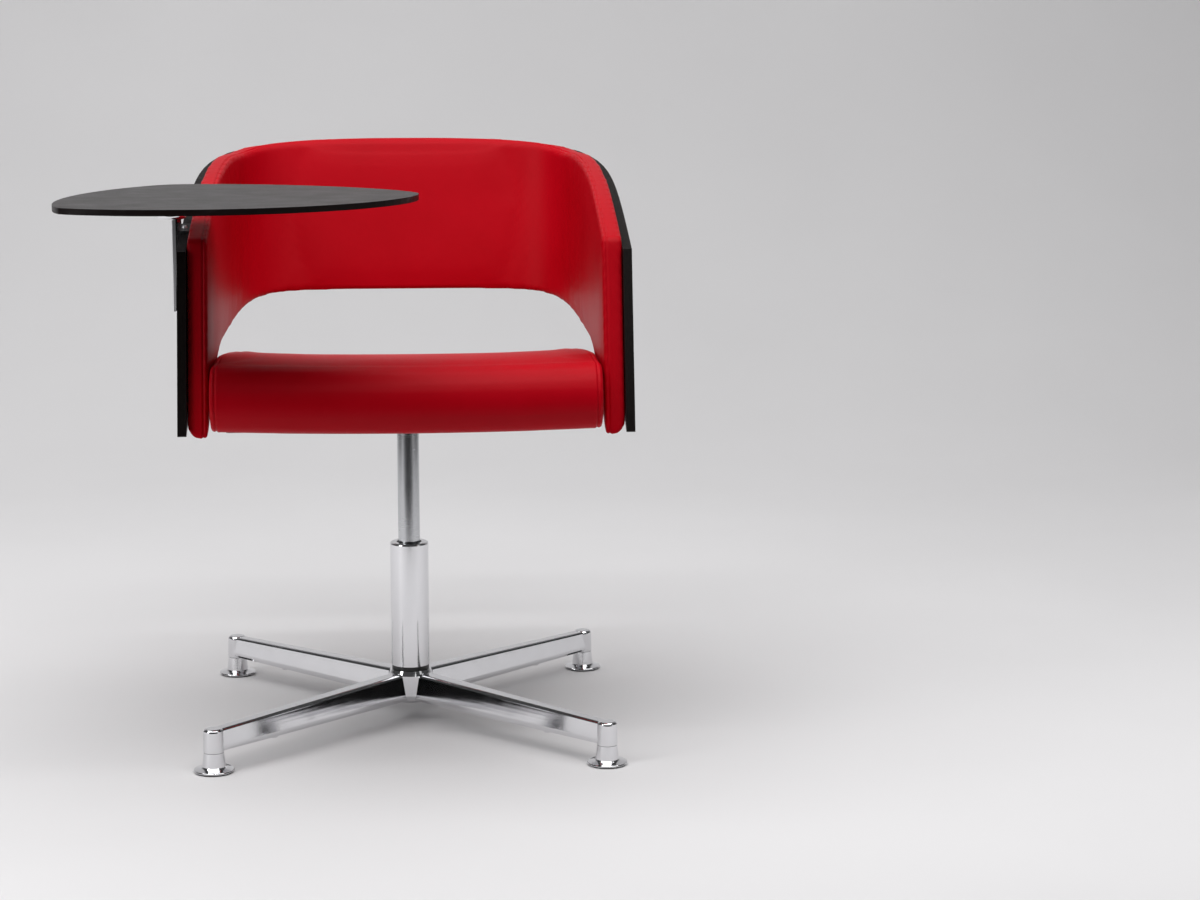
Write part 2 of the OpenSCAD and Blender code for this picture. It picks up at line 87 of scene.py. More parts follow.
def in_seat(points):
    """Seat coordinates, on the sloping board plane, to the row frame."""
    x, y, z = np.moveaxis(np.asarray(points, float), -1, 0)
    c, s = math.cos(SEAT_SLOPE), math.sin(SEAT_SLOPE)
    return np.stack([x, y * c + z * s, z * c - y * s + SEAT_BASE], -1)


# ------------------------------------------------------------------ band
def band_plan(angle, inward):
    """Point (x, depth) of the band's plan at a polar angle, moved inwards."""
    c, s = np.cos(angle), np.sin(angle)
    reach = ((np.abs(c) / BAND_HALF_WIDTH) ** BAND_POWER
             + (np.abs(s) / BAND_DEPTH) ** BAND_POWER) ** (-1 / BAND_POWER)
    q = np.stack([reach * c, reach * s], -1)
    g = np.stack([
        np.sign(q[..., 0]) * (np.abs(q[..., 0]) / BAND_HALF_WIDTH) ** (BAND_POWER - 1)
        / BAND_HALF_WIDTH,
        (np.abs(q[..., 1]) / BAND_DEPTH) ** (BAND_POWER - 1) / BAND_DEPTH], -1)
    g /= np.linalg.norm(g, axis=-1, keepdims=True)
    return q + [0, BAND_FRONT] - np.asarray(inward)[..., None] * g


def pad_limits(x, v):
    """Lowest and highest height of the pad at a place (x, depth) of the shell's plan."""
    t = (v - BAND_FRONT) / BAND_DEPTH
    rise = 0.012 - 0.006 * np.exp(-(((t - 0.84) / 0.08) ** 2))
    top = 0.5649 + 0.282 * t - 0.05 * t * t + 0.01 * t ** 16 + rise
    arch = 0.803 - 0.014 * np.abs(x / 0.194) ** 3
    low = 0.3394 + 0.352 * t - 0.086 * t * t - 0.002
    sag = 0.017 * np.exp(-(((t - 0.68) / 0.2) ** 2)) + 0.009 * np.exp(-((t / 0.1) ** 2))
    return low - sag, np.minimum(top, arch)


# ------------------------------------------------------------------ meshes
def new_piece(name, verts, faces, material=None):
    """A smooth-shaded mesh object whose normals point outwards."""
    mesh = bpy.data.meshes.new(name)
    mesh.from_pydata([tuple(map(float, v)) for v in verts], [], faces)
    mesh.validate()
    bm = bmesh.new()
    bm.from_mesh(mesh)
    bmesh.ops.recalc_face_normals(bm, faces=bm.faces)
    bm.to_mesh(mesh)
    bm.free()
    mesh.shade_smooth()
    obj = bpy.data.objects.new(name, mesh)
    bpy.context.scene.collection.objects.link(obj)
    if material is not None:
        mesh.materials.append(material)
    return obj


def tube_faces(rings, n):
    """Faces of a skin over rings of n points each, with a cap on the first and the last."""
    sides = [(i * n + k, i * n + (k + 1) % n, (i + 1) * n + (k + 1) % n, (i + 1) * n + k)
             for i in range(rings - 1) for k in range(n)]
    return sides + [tuple(range(n)), tuple(range((rings - 1) * n, rings * n))]


def coords(obj):
    co = np.empty(len(obj.data.vertices) * 3, np.float32)
    obj.data.vertices.foreach_get("co", co)
    return co.reshape(-1, 3).astype(float)


def set_coords(obj, co):
    obj.data.vertices.foreach_set("co", co.astype(np.float32).ravel())
    obj.data.update()


def normals(obj):
    no = np.empty(len(obj.data.vertices) * 3, np.float32)
    obj.data.vertex_normals.foreach_get("vector", no)
    return no.reshape(-1, 3).astype(float)


def bake(obj, kind, **settings):
    """Adds one modifier and keeps its result as the mesh."""
    modifier = obj.modifiers.new(kind.lower(), kind)
    for key, value in settings.items():
        setattr(modifier, key, value)
    graph = bpy.context.evaluated_depsgraph_get()
    mesh = bpy.data.meshes.new_from_object(obj.evaluated_get(graph))
    obj.modifiers.clear()
    obj.data = mesh
    mesh.shade_smooth()


def edge_pairs(obj):
    pairs = np.empty(len(obj.data.edges) * 2, np.int32)
    obj.data.edges.foreach_get("vertices", pairs)
    return pairs.reshape(-1, 2)


def relax(values, pairs, rounds):
    """Averages each vertex's value with its neighbours'."""
    a, b = pairs[:, 0], pairs[:, 1]
    count = np.bincount(pairs.ravel(), minlength=len(values))[:, None]
    for _ in range(rounds):
        total = np.zeros_like(values)
        np.add.at(total, a, values[b])
        np.add.at(total, b, values[a])
        values = 0.5 * values + 0.5 * total / np.maximum(count, 1)
    return values


def inflate(obj, hold, pressure, cap):
    """Blows a closed leather skin up by cloth simulation, held where hold is 1."""
    rest = coords(obj)
    group = obj.vertex_groups.new(name="hold")
    for index in np.flatnonzero(hold > 0.02):
        group.add([int(index)], float(hold[index]), "REPLACE")
    cloth = obj.modifiers.new("cloth", "CLOTH")
    s = cloth.settings
    s.use_pressure = True
    s.uniform_pressure_force = pressure
    s.effector_weights.gravity = 0
    s.vertex_group_mass = "hold"
    s.quality = 6
    s.mass = 0.4
    s.tension_stiffness = s.compression_stiffness = 40
    s.shear_stiffness = 20
    s.bending_stiffness = 4
    s.air_damping = 3
    cloth.collision_settings.use_collision = False
    cloth.point_cache.frame_start = 1
    cloth.point_cache.frame_end = CLOTH_STEPS
    scene = bpy.context.scene
    for step in range(1, CLOTH_STEPS + 1):
        scene.frame_set(step)
    graph = bpy.context.evaluated_depsgraph_get()
    blown = np.empty(len(rest) * 3, np.float32)
    obj.evaluated_get(graph).data.vertices.foreach_get("co", blown)
    obj.modifiers.clear()
    scene.frame_set(1)
    move = blown.reshape(-1, 3) - rest
    move = relax(move, edge_pairs(obj), 4)
    size = np.linalg.norm(move, axis=1, keepdims=True)
    move *= np.where(size > 1e-9, cap * np.tanh(size / cap) / np.maximum(size, 1e-9), 0)
    set_coords(obj, rest + move)


def distance_to(points, lines):
    """Distance from each point to the nearest of some dense polylines."""
    dense = np.concatenate(lines)
    tree = KDTree(len(dense))
    for i, p in enumerate(dense):
        tree.insert(p, i)
    tree.balance()
    return np.array([tree.find(p)[2] for p in points])


def resample(points, step):
    """The polyline at equal steps along its length."""
    points = np.asarray(points, float)
    along = np.concatenate([[0], np.cumsum(np.linalg.norm(np.diff(points, axis=0), axis=1))])
    count = max(2, int(round(along[-1] / step)) + 1)
    at = np.linspace(0, along[-1], count)
    return np.stack([np.interp(at, along, points[:, k]) for k in range(3)], -1)


def snap(obj, line):
    """A polyline moved onto the surface of obj."""
    tree = BVHTree.FromObject(obj, bpy.context.evaluated_depsgraph_get())
    return np.array([tree.find_nearest(Vector(p))[0] for p in line])


def sew(obj, seams, depth=0.0012, width=0.0011):
    """Cuts seam channels with soft lips, on a mesh made finer beside them."""
    bm = bmesh.new()
    bm.from_mesh(obj.data)
    for reach in (0.0075, 0.0045):
        co = np.array([v.co for v in bm.verts])
        near = distance_to(co, seams) < reach
        edges = [e for e in bm.edges if near[e.verts[0].index] and near[e.verts[1].index]]
        bmesh.ops.subdivide_edges(bm, edges=edges, cuts=1, use_grid_fill=True)
        bm.verts.index_update()
    bm.to_mesh(obj.data)
    bm.free()
    obj.data.shade_smooth()
    co = coords(obj)
    away = distance_to(co, seams)
    drop = depth * np.exp(-((away / width) ** 2))
    lip = 0.25 * depth * np.exp(-(((away - 2.6 * width) / (1.3 * width)) ** 2))
    set_coords(obj, co + normals(obj) * (lip - drop)[:, None])


# ------------------------------------------------------------------ materials
class Shade:
    """A small builder for one node material."""

    def __init__(self, name):
        self.material = bpy.data.materials.new(name)
        self.material.use_nodes = True
        self.tree = self.material.node_tree
        self.shader = self.tree.nodes["Principled BSDF"]
        self.coord = self.add("ShaderNodeTexCoord").outputs["Object"]

    def add(self, kind, **values):
        node = self.tree.nodes.new(kind)
        for key, value in values.items():
            if key in node.inputs:
                node.inputs[key].default_value = value
            else:
                setattr(node, key, value)
        return node

    def link(self, output, target):
        self.tree.links.new(output, target)

    def put(self, **values):
        for key, value in values.items():
            self.shader.inputs[key.replace("_", " ")].default_value = value

    def mapped(self, scale=(1, 1, 1), rotation=(0, 0, 0)):
        node = self.add("ShaderNodeMapping", Scale=scale, Rotation=rotation)
        self.link(self.coord, node.inputs["Vector"])
        return node.outputs["Vector"]

    def noise(self, scale, detail=3.0, vector=None, roughness=0.55):
        node = self.add("ShaderNodeTexNoise", Scale=scale, Detail=detail, Roughness=roughness)
        self.link(vector or self.coord, node.inputs["Vector"])
        return node.outputs["Fac"]

    def ramp(self, factor, stops):
        node = self.add("ShaderNodeValToRGB")
        bar = node.color_ramp
        while len(bar.elements) < len(stops):
            bar.elements.new(0.5)
        for element, (place, colour) in zip(bar.elements, stops):
            element.position = place
            element.color = (*colour, 1)
        self.link(factor, node.inputs["Fac"])
        return node.outputs["Color"]

    def span(self, factor, low, high, start=0.3, end=0.7):
        node = self.add("ShaderNodeMapRange")
        for key, value in zip(("From Min", "From Max", "To Min", "To Max"),
                              (start, end, low, high)):
            node.inputs[key].default_value = value
        self.link(factor, node.inputs["Value"])
        return node.outputs["Result"]

    def combine(self, operation, a, b):
        node = self.add("ShaderNodeMath", operation=operation)
        for socket, value in zip(node.inputs, (a, b)):
            if isinstance(value, (int, float)):
                socket.default_value = value
            else:
                self.link(value, socket)
        return node.outputs[0]

    def bump(self, height, strength, distance, below=None):
        node = self.add("ShaderNodeBump", Strength=strength, Distance=distance)
        self.link(height, node.inputs["Height"])
        if below is not None:
            self.link(below, node.inputs["Normal"])
        self.link(node.outputs["Normal"], self.shader.inputs["Normal"])
        return node.outputs["Normal"]

    def colour(self, output):
        self.link(output, self.shader.inputs["Base Color"])

    def rough(self, output):
        self.link(output, self.shader.inputs["Roughness"])


def leather():
    """Red upholstery leather: fine pebbled grain, pores and soft creases."""
    m = Shade("red_leather_look")
    broad = m.noise(6.0, 4.0)
    m.colour(m.ramp(broad, [(0.3, (0.42, 0.0003, 0.0060)), (0.7, (0.48, 0.0005, 0.0084))]))
    m.put(Specular_IOR_Level=0.12, IOR=1.38)
    cells = m.add("ShaderNodeTexVoronoi", feature="DISTANCE_TO_EDGE", Scale=760.0)
    m.link(m.coord, cells.inputs["Vector"])
    pores = m.span(cells.outputs["Distance"], 0.0, 1.0, 0.0, 0.22)
    fine = m.noise(1500.0, 2.0)
    crease = m.noise(120.0, 5.0)
    m.rough(m.combine("ADD", m.span(broad, 0.38, 0.45), m.span(fine, -0.03, 0.05)))
    soft = m.bump(crease, 0.10, 0.0012)
    m.bump(m.combine("ADD", pores, m.combine("MULTIPLY", fine, 0.5)), 0.16, 0.00022, soft)
    return m.material


def veneer():
    """Dark open-pored veneer whose grain runs round the band."""
    m = Shade("wenge_veneer_look")
    lean = (LEAN, 0, 0)
    streak = m.noise(1.0, 6.0, m.mapped((5, 5, 320), lean), 0.62)
    figure = m.noise(1.0, 3.0, m.mapped((3, 3, 38), lean))
    pore = m.noise(1.0, 2.0, m.mapped((60, 60, 1900), lean))
    blend = m.combine("ADD", m.combine("MULTIPLY", streak, 0.62),
                      m.combine("MULTIPLY", figure, 0.38))
    m.colour(m.ramp(blend, [(0.36, (0.0045, 0.0016, 0.0014)), (0.50, (0.011, 0.0036, 0.0030)),
                            (0.66, (0.030, 0.0090, 0.0070))]))
    m.rough(m.combine("ADD", m.span(streak, 0.34, 0.46), m.span(pore, -0.04, 0.08)))
    m.put(Specular_IOR_Level=0.42, Coat_Weight=0.10, Coat_Roughness=0.3)
    broad = m.bump(streak, 0.10, 0.0006)
    m.bump(m.span(pore, 0.0, 1.0, 0.36, 0.60), 0.22, 0.00025, broad)
    return m.material


def edge_ply():
    """Stained plywood edge with faint layers."""
    m = Shade("ply_edge_look")
    layers = m.noise(1.0, 3.0, m.mapped((700, 700, 30), (LEAN, 0, 0)))
    m.colour(m.ramp(layers, [(0.35, (0.003, 0.0015, 0.0013)), (0.65, (0.007, 0.004, 0.0035))]))
    m.put(Specular_IOR_Level=0.15)
    m.rough(m.span(layers, 0.46, 0.6))
    m.bump(layers, 0.15, 0.0003)
    return m.material


def laminate():
    m = Shade("tablet_laminate_look")
    cloudy = m.noise(24.0, 5.0)
    speck = m.noise(1400.0, 2.0)
    m.colour(m.ramp(cloudy, [(0.3, (0.018, 0.016, 0.016)), (0.7, (0.025, 0.022, 0.022))]))
    m.rough(m.combine("ADD", m.span(cloudy, 0.36, 0.44), m.span(speck, -0.03, 0.05)))
    m.put(Specular_IOR_Level=0.3)
    m.bump(speck, 0.12, 0.00012)
    return m.material


def laminate_edge():
    m = Shade("tablet_edge_look")
    line = m.noise(1.0, 3.0, m.mapped((14, 14, 1500)))
    m.colour(m.ramp(line, [(0.3, (0.004, 0.002, 0.002)), (0.7, (0.009, 0.005, 0.005))]))
    m.put(Specular_IOR_Level=0.22)
    m.rough(m.span(line, 0.3, 0.42))
    m.bump(line, 0.08, 0.0002)
    return m.material


def metal(name, colour, rough, spread, grain_scale=90.0, bump=0.02, stretch=(1, 1, 1), turned=0.0):
    """Plated or ground metal with faint wipe marks in its gloss."""
    m = Shade(name)
    marks = m.noise(grain_scale, 5.0, m.mapped(stretch))
    cloud = m.noise(9.0, 4.0)
    low = tuple(0.94 * c for c in colour)
    m.colour(m.ramp(cloud, [(0.3, low), (0.7, colour)]))
    m.put(Metallic=1.0, Anisotropic=turned)
    m.rough(m.combine("ADD", m.span(cloud, rough, rough + spread / 2),
                      m.span(marks, 0.0, spread / 2)))
    m.bump(marks, bump, 0.0002)
    return m.material


def moulded(name, dark, light, rough, grain=1100.0, bump=0.2):
    """Moulded plastic, rubber or powder coat with a fine texture."""
    m = Shade(name)
    cloud = m.noise(14.0, 4.0)
    texture = m.noise(grain, 3.0)
    m.colour(m.ramp(cloud, [(0.3, dark), (0.7, light)]))
    m.rough(m.combine("ADD", m.span(cloud, rough - 0.04, rough + 0.04),
                      m.span(texture, -0.04, 0.06)))
    m.bump(texture, bump, 0.00025)
    return m.material


def birch():
    m = Shade("birch_board_look")
    grain = m.noise(1.0, 5.0, m.mapped((160, 9, 160)))
    m.colour(m.ramp(grain, [(0.3, (0.42, 0.28, 0.15)), (0.7, (0.60, 0.44, 0.27))]))
    m.rough(m.span(grain, 0.55, 0.7))
    m.bump(grain, 0.2, 0.0004)
    return m.material


RED = leather()
CHROME = metal("polished_chrome_look", (0.80, 0.80, 0.82), 0.035, 0.05)
ALLOY = metal("polished_alloy_look", (0.78, 0.78, 0.80), 0.05, 0.07, 60.0, 0.03)
TUBE = metal("chrome_tube_look", (0.80, 0.80, 0.82), 0.09, 0.05, turned=0.8)
SATIN = metal("satin_tube_look", (0.62, 0.63, 0.65), 0.20, 0.10, 1.0, 0.05, (60, 60, 900), 0.85)
ZINC = metal("zinc_steel_look", (0.60, 0.60, 0.61), 0.26, 0.14, 500.0, 0.08)
DISC = metal("screw_disc_look", (0.62, 0.58, 0.57), 0.30, 0.16, 700.0, 0.15)
DARK = moulded("dark_steel_look", (0.010, 0.010, 0.011), (0.018, 0.018, 0.019), 0.42)
RUBBER = moulded("glide_rubber_look", (0.010, 0.010, 0.010), (0.02, 0.02, 0.02), 0.68, 700.0, 0.3)
BLACK = moulded("black_plastic_look", (0.007, 0.007, 0.007), (0.014, 0.014, 0.014), 0.34)
GREY = moulded("grey_pan_look", (0.070, 0.074, 0.070), (0.090, 0.094, 0.090), 0.46, 900.0, 0.25)

LOOKS = {
    "polished_chrome": CHROME, "polished_alloy": ALLOY, "satin_tube": SATIN, "zinc_steel": ZINC,
    "dark_steel": DARK, "glide_rubber": RUBBER, "black_plastic": BLACK, "grey_pan": GREY,
    "birch_board": birch(), "wenge_veneer": veneer(), "tablet_laminate": laminate(),
    "red_leather": RED, "foam": moulded("foam_look", (0.7, 0.66, 0.52), (0.8, 0.76, 0.62), 0.8),
}
for part in frame["record"]["subparts"]:
    mesh = nodes[part["node"]].data
    mesh.materials.clear()
    mesh.materials.append(LOOKS[part["material_slot"]])
nodes["shell_screws"].data.materials[0] = DISC
nodes["stand_tube"].data.materials[0] = TUBE


def split_faces(node, material, chooses):
    """Gives a second look to the faces of a CAD node that chooses(normal) picks."""
    mesh = nodes[node].data
    mesh.materials.append(material)
    for face in mesh.polygons:
        if chooses(face.normal):
            face.material_index = 1


UP_SHELL = Vector((0, math.sin(LEAN), math.cos(LEAN)))
FRONT_SHELL = Vector((0, -math.cos(LEAN), math.sin(LEAN)))
split_faces("plywood_band", edge_ply(),
            lambda n: abs(n.dot(UP_SHELL)) > 0.35 or n.dot(FRONT_SHELL) > 0.9)
split_faces("tablet_top", laminate_edge(), lambda n: n.z < 0.9)


def soften(node, width, angle=35.0, segments=2):
    """Breaks the sharp edges of a CAD node so that they catch the light."""
    obj = nodes[node]
    weld = obj.modifiers.new("weld", "WELD")
    weld.merge_threshold = 1e-6
    bevel = obj.modifiers.new("bevel", "BEVEL")
    bevel.width = width
    bevel.segments = segments
    bevel.limit_method = "ANGLE"
    bevel.angle_limit = math.radians(angle)
    bevel.use_clamp_overlap = True
    bevel.harden_normals = True


for piece, width in (("tablet_top", 0.0009), ("plywood_band", 0.0006), ("link_arm", 0.0012),
                     ("tablet_hub", 0.0008), ("release_lever", 0.0008), ("seat_pan", 0.0008)):
    soften(piece, width)


# ------------------------------------------------------------------ back pad
def pad_section(k_steps=22):
    """Section loop of the pad: which part of the outline, turn in it, share of the height."""
    loop = [("inner", 0.0, share) for share in np.linspace(0, 1, k_steps)]
    loop += [("top_in", math.radians(a), 1) for a in (22.5, 45, 67.5)]
    loop += [("top", s, 1) for s in (0.0, 0.5, 1.0)]
    loop += [("top_out", math.radians(a), 1) for a in (30, 60)]
    loop += [("outer", 0.0, share) for share in np.linspace(1, 0, k_steps)]
    loop += [("low_out", math.radians(a), 0) for a in (18, 36, 54, 72)]
    loop += [("low", s, 0) for s in (0.0, 0.5, 1.0)]
    loop += [("low_in", math.radians(a), 0) for a in (22.5, 45, 67.5)]
    return loop


def pad_point(angle, entry, squeeze_o=0.0, squeeze_w=0.0):
    """One point of the pad skin: angle along the band and an entry of the section."""
    kind, turn, share = entry
    near = PLY + PAD_SKIN_OUT + squeeze_o
    far = PLY + PAD - PAD_SKIN_IN - squeeze_o
    inner, outer = PAD_INNER_ROUND, PAD_OUTER_ROUND
    depth = float(band_plan(np.array(angle), np.array(0.0))[1]) - BAND_FRONT
    foot = outer + (PAD_FOOT_ROUND - outer) * math.exp(-((depth / 0.16) ** 2))
    if kind == "inner":
        off = far
    elif kind == "outer":
        off = near
    elif kind == "top_in":
        off, inset = far - inner * (1 - math.cos(turn)), inner * (1 - math.sin(turn))
    elif kind == "low_in":
        off, inset = far - inner * (1 - math.sin(turn)), inner * (1 - math.cos(turn))
    elif kind == "top_out":
        off, inset = near + outer * (1 - math.sin(turn)), outer * (1 - math.cos(turn))
    elif kind == "low_out":
        off, inset = near + foot * (1 - math.cos(turn)), foot * (1 - math.sin(turn))
    else:
        edge = outer if kind == "top" else foot
        across = turn if kind == "top" else 1 - turn
        off, inset = far - inner - across * (far - near - inner - edge), 0.0
    x, v = band_plan(np.array(angle), np.array(off))
    low, top = pad_limits(x, v)
    low, top = low + squeeze_w, top - squeeze_w
    if kind == "inner":
        w = low + inner + share * (top - low - 2 * inner)
    elif kind == "outer":
        w = low + foot + share * (top - low - foot - outer)
    else:
        w = top - inset if share else low + inset
    return x, v, w


def angle_stations(front):
    """Distances along the pad, from one arm's front to the other's, and their polar angles."""
    fine = np.linspace(0.0, math.pi, 4001)
    plan = band_plan(fine, np.full(fine.shape, PLY + PAD / 2))
    keep = plan[:, 1] > front
    fine, plan = fine[keep], plan[keep]
    along = np.concatenate([[0], np.cumsum(np.linalg.norm(np.diff(plan, axis=0), axis=1))])
    return along, fine


def make_pad():
    """The back pad: the section swept along the band, closed and rounded at both arms."""
    loop = pad_section()
    front = BAND_FRONT + PAD_FRONT_GAP
    along, fine = angle_stations(front)
    round_l, round_o, round_w = 0.0070, 0.0028, 0.0045
    ends = [0.0, 0.0005, 0.0015, 0.003, 0.005]
    middle = np.linspace(round_l, along[-1] - round_l, 190)
    spots = ends + list(middle) + [along[-1] - e for e in reversed(ends)]
    verts = []
    for spot in spots:
        turn = max(0.0, 1 - min(spot, along[-1] - spot) / round_l)
        shrink = 1 - math.sqrt(max(0.0, 1 - turn * turn))
        angle = np.interp(spot, along, fine)
        for entry in loop:
            verts.append(pad_point(angle, entry, shrink * round_o, shrink * round_w))
    pad = new_piece("back_pad", in_shell(verts), tube_faces(len(spots), len(loop)))
    bake(pad, "REMESH", mode="VOXEL", voxel_size=PAD_VOXEL, use_smooth_shade=True)
    pad.data.materials.append(RED)

    along, fine = angle_stations(front + 0.004)
    stations = np.interp(np.linspace(0, along[-1], 400), along, fine)
    top_line = [pad_point(a, ("top", 0.0, 1)) for a in stations]
    low_line = [pad_point(a, ("low", 1.0, 0)) for a in stations]
    seams = [in_shell(top_line), in_shell(low_line)]
    for end in (0, -1):
        start, stop = np.array(top_line[end]), np.array(low_line[end])
        down = start + np.linspace(0, 1, 90)[:, None] * (stop - start)
        down[:, 1] = front
        down[:, 0] = np.sign(start[0]) * (BAND_HALF_WIDTH - PLY - PAD + PAD_INNER_ROUND)
        seams.append(in_shell(down))

    co = coords(pad)
    plan = np.stack([co[:, 0], co[:, 1] * math.cos(LEAN) - co[:, 2] * math.sin(LEAN)], -1)
    angle = np.arctan2(plan[:, 1] - BAND_FRONT, plan[:, 0])
    off_wood = np.linalg.norm(plan - band_plan(angle, np.full(angle.shape, PLY)), axis=1)
    seam_hold = np.exp(-((distance_to(co, seams) / 0.006) ** 2))
    hold = np.maximum(np.clip((0.010 - off_wood) / 0.004, 0, 1), seam_hold)
    inflate(pad, hold, pressure=1.6, cap=0.0028)
    bake(pad, "SUBSURF", levels=1)
    seams = [snap(pad, resample(line, SEAM_STEP)) for line in seams]
    sew(pad, seams, depth=0.0009)
    return pad


# ------------------------------------------------------------------ cushion
def seat_profile(rear):
    """Side outline (y, z) of the cushion whose rear stops at the given depth."""
    gone = SEAT_SKIN
    deep, high = NOSE_DEEP - gone, NOSE_HIGH - gone
    points = [(NOSE_REAR, gone), (NOSE_REAR, -0.014), (NOSE_REAR - 0.0035, -0.024)]
    for a in np.radians(range(300, 89, -10)):
        points.append((NOSE_Y + deep * math.cos(a), NOSE_Z + high * math.sin(a)))
    top, corner = SEAT_THICK - gone, 0.010
    crest = NOSE_Z + high
    span = rear - gone - corner - NOSE_Y
    for share in np.linspace(0.06, 1.0, 18):
        swell = 0.0025 * math.sin(math.pi * min(1.0, share / 0.5) / 2) * (1 - share ** 6)
        points.append((NOSE_Y + share * span, crest + share * (top - crest) + swell))
    for a in np.radians((60, 30, 0)):
        points.append((rear - gone - corner * (1 - math.cos(a)), top - corner * (1 - math.sin(a))))
    for a in np.radians((0, -30, -60, -90)):
        points.append((rear - gone - 0.001 - 0.014 * (1 - math.cos(a)),
                       gone + 0.014 * (1 + math.sin(a))))
    return np.array(points)


def rear_at(x, half):
    """Rear limit of the cushion's plan at x, with its round corners."""
    over = max(0.0, abs(x) - (half - SEAT_CORNER))
    return SEAT_REAR - SEAT_CORNER + math.sqrt(max(0.0, SEAT_CORNER ** 2 - over ** 2))


def seat_dish(x, y, z):
    """How far the leather draws down between the two ends of the cushion."""
    height = np.clip(z / 0.045, 0, 1)
    share = np.where(y < -0.204, 1.0, height)
    out = (x / SEAT_HALF_WIDTH) ** 2
    full_end = SEAT_END_RISE * out ** 3 * np.clip((y + 0.21) / 0.08, 0, 1) * height
    return share * SEAT_DISH * (1 - out) - full_end


def seat_seams(edge):
    """Seam lines of the two end panels and of the rear panel, in seat coordinates."""
    inset = SEAT_HALF_WIDTH - edge
    deep, high = NOSE_DEEP - 0.002, NOSE_HIGH - 0.002
    nose = [(edge, NOSE_Y + deep * math.cos(a), NOSE_Z + high * math.sin(a))
            for a in np.radians(np.linspace(292, 90, 120))]
    side = [(edge, y, NOSE_Z + NOSE_HIGH + 0.0055 * (y - NOSE_Y) / 0.46)
            for y in np.linspace(NOSE_Y, SEAT_REAR - SEAT_CORNER, 220)]
    radius = SEAT_CORNER - inset
    bend = [(edge - radius * (1 - math.cos(a)),
             SEAT_REAR - SEAT_CORNER + radius * math.sin(a), SEAT_THICK)
            for a in np.radians(np.linspace(0, 90, 90))]
    half_line = np.array(nose + side + bend)
    half_line[:, 2] -= seat_dish(*half_line.T)
    mirrored = half_line[::-1] * [-1, 1, 1]
    return [resample(in_seat(np.concatenate([half_line, mirrored])), 0.0012)]


def make_cushion():
    """The seat cushion: side outlines across its width, drawn in at both ends."""
    half = SEAT_HALF_WIDTH - SEAT_INSET
    round_x = 0.0075
    outer = half - round_x
    xs = [half - round_x * (1 - math.cos(math.radians(a))) for a in (0, 14, 30, 48, 68)]
    xs = xs + list(np.linspace(outer, -outer, 61)) + [-x for x in reversed(xs)]
    verts = []
    for x in xs:
        turn = max(0.0, (abs(x) - outer) / round_x)
        fade = 1 - math.sqrt(max(0.0, 1 - turn * turn))
        outline = seat_profile(rear_at(x, half))
        if fade > 0:
            on_top = np.clip((outline[:, 1] - 0.012) / 0.025, 0, 1)[:, None]
            shrink = fade * (0.0030 + 0.0035 * on_top)
            middle = np.stack([np.clip(outline[:, 0], NOSE_Y, rear_at(x, half) - 0.03),
                               np.clip(outline[:, 1], NOSE_Z - 0.006, NOSE_Z + 0.022)], -1)
            pull = middle - outline
            reach = np.linalg.norm(pull, axis=1, keepdims=True)
            outline = outline + pull * np.minimum(1, shrink / np.maximum(reach, 1e-6))
        verts += [(x, y, z - float(seat_dish(x, y, z))) for y, z in outline]
    faces = tube_faces(len(xs), len(verts) // len(xs))
    seat = new_piece("seat_cushion", in_seat(verts), faces)
    bake(seat, "REMESH", mode="VOXEL", voxel_size=SEAT_VOXEL, use_smooth_shade=True)
    seat.data.materials.append(RED)

    seams = seat_seams(half - 0.0065)
    co = coords(seat)
    c, s = math.cos(SEAT_SLOPE), math.sin(SEAT_SLOPE)
    up = (co[:, 2] - SEAT_BASE) * c + co[:, 1] * s
    forward = co[:, 1] * c - (co[:, 2] - SEAT_BASE) * s
    under = np.clip((0.008 - up) / 0.004, 0, 1) * (forward > -0.200)
    seam_hold = 0.85 * np.exp(-((distance_to(co, seams) / 0.007) ** 2))
    tight_nose = 0.35 * np.clip((-0.190 - forward) / 0.03, 0, 1)
    hold = np.maximum(np.maximum(under, seam_hold), tight_nose)
    inflate(seat, hold, pressure=2.2, cap=0.0055)
    bake(seat, "SUBSURF", levels=1)
    seams = [snap(seat, resample(line, SEAM_STEP)) for line in seams]
    sew(seat, seams)
    return seat


pad = make_pad()
seat = make_cushion()
for body_piece, stands_for in ((pad, ("pad_cover", "pad_foam")),
                               (seat, ("seat_cover", "seat_foam"))):
    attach(body_piece, "seat")
    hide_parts(*stands_for)

# ------------------------------------------------------------------ studio
FLOOR_REACH, BEND_START, BEND_RADIUS = 9.0, 1.6, 2.2
profile = [(-FLOOR_REACH, 0.0), (BEND_START, 0.0)]
profile += [(BEND_START + BEND_RADIUS * math.sin(a), BEND_RADIUS * (1 - math.cos(a)))
            for a in np.radians(range(6, 91, 6))]
profile += [(BEND_START + BEND_RADIUS, FLOOR_REACH)]
floor_verts = [(x, y, z) for y, z in profile for x in (-FLOOR_REACH, FLOOR_REACH)]
floor_faces = [(k, k + 1, k + 3, k + 2) for k in range(0, 2 * len(profile) - 2, 2)]
paper = Shade("studio_paper_look")
paper.colour(paper.ramp(paper.noise(1.2, 3.0),
                        [(0.3, (0.72, 0.712, 0.72)), (0.7, (0.75, 0.742, 0.75))]))
paper.put(Roughness=0.62, Specular_IOR_Level=0.25)
paper.bump(paper.noise(300.0, 2.0), 0.03, 0.0004)
sweep = new_piece("studio_floor", floor_verts, floor_faces, paper.material)


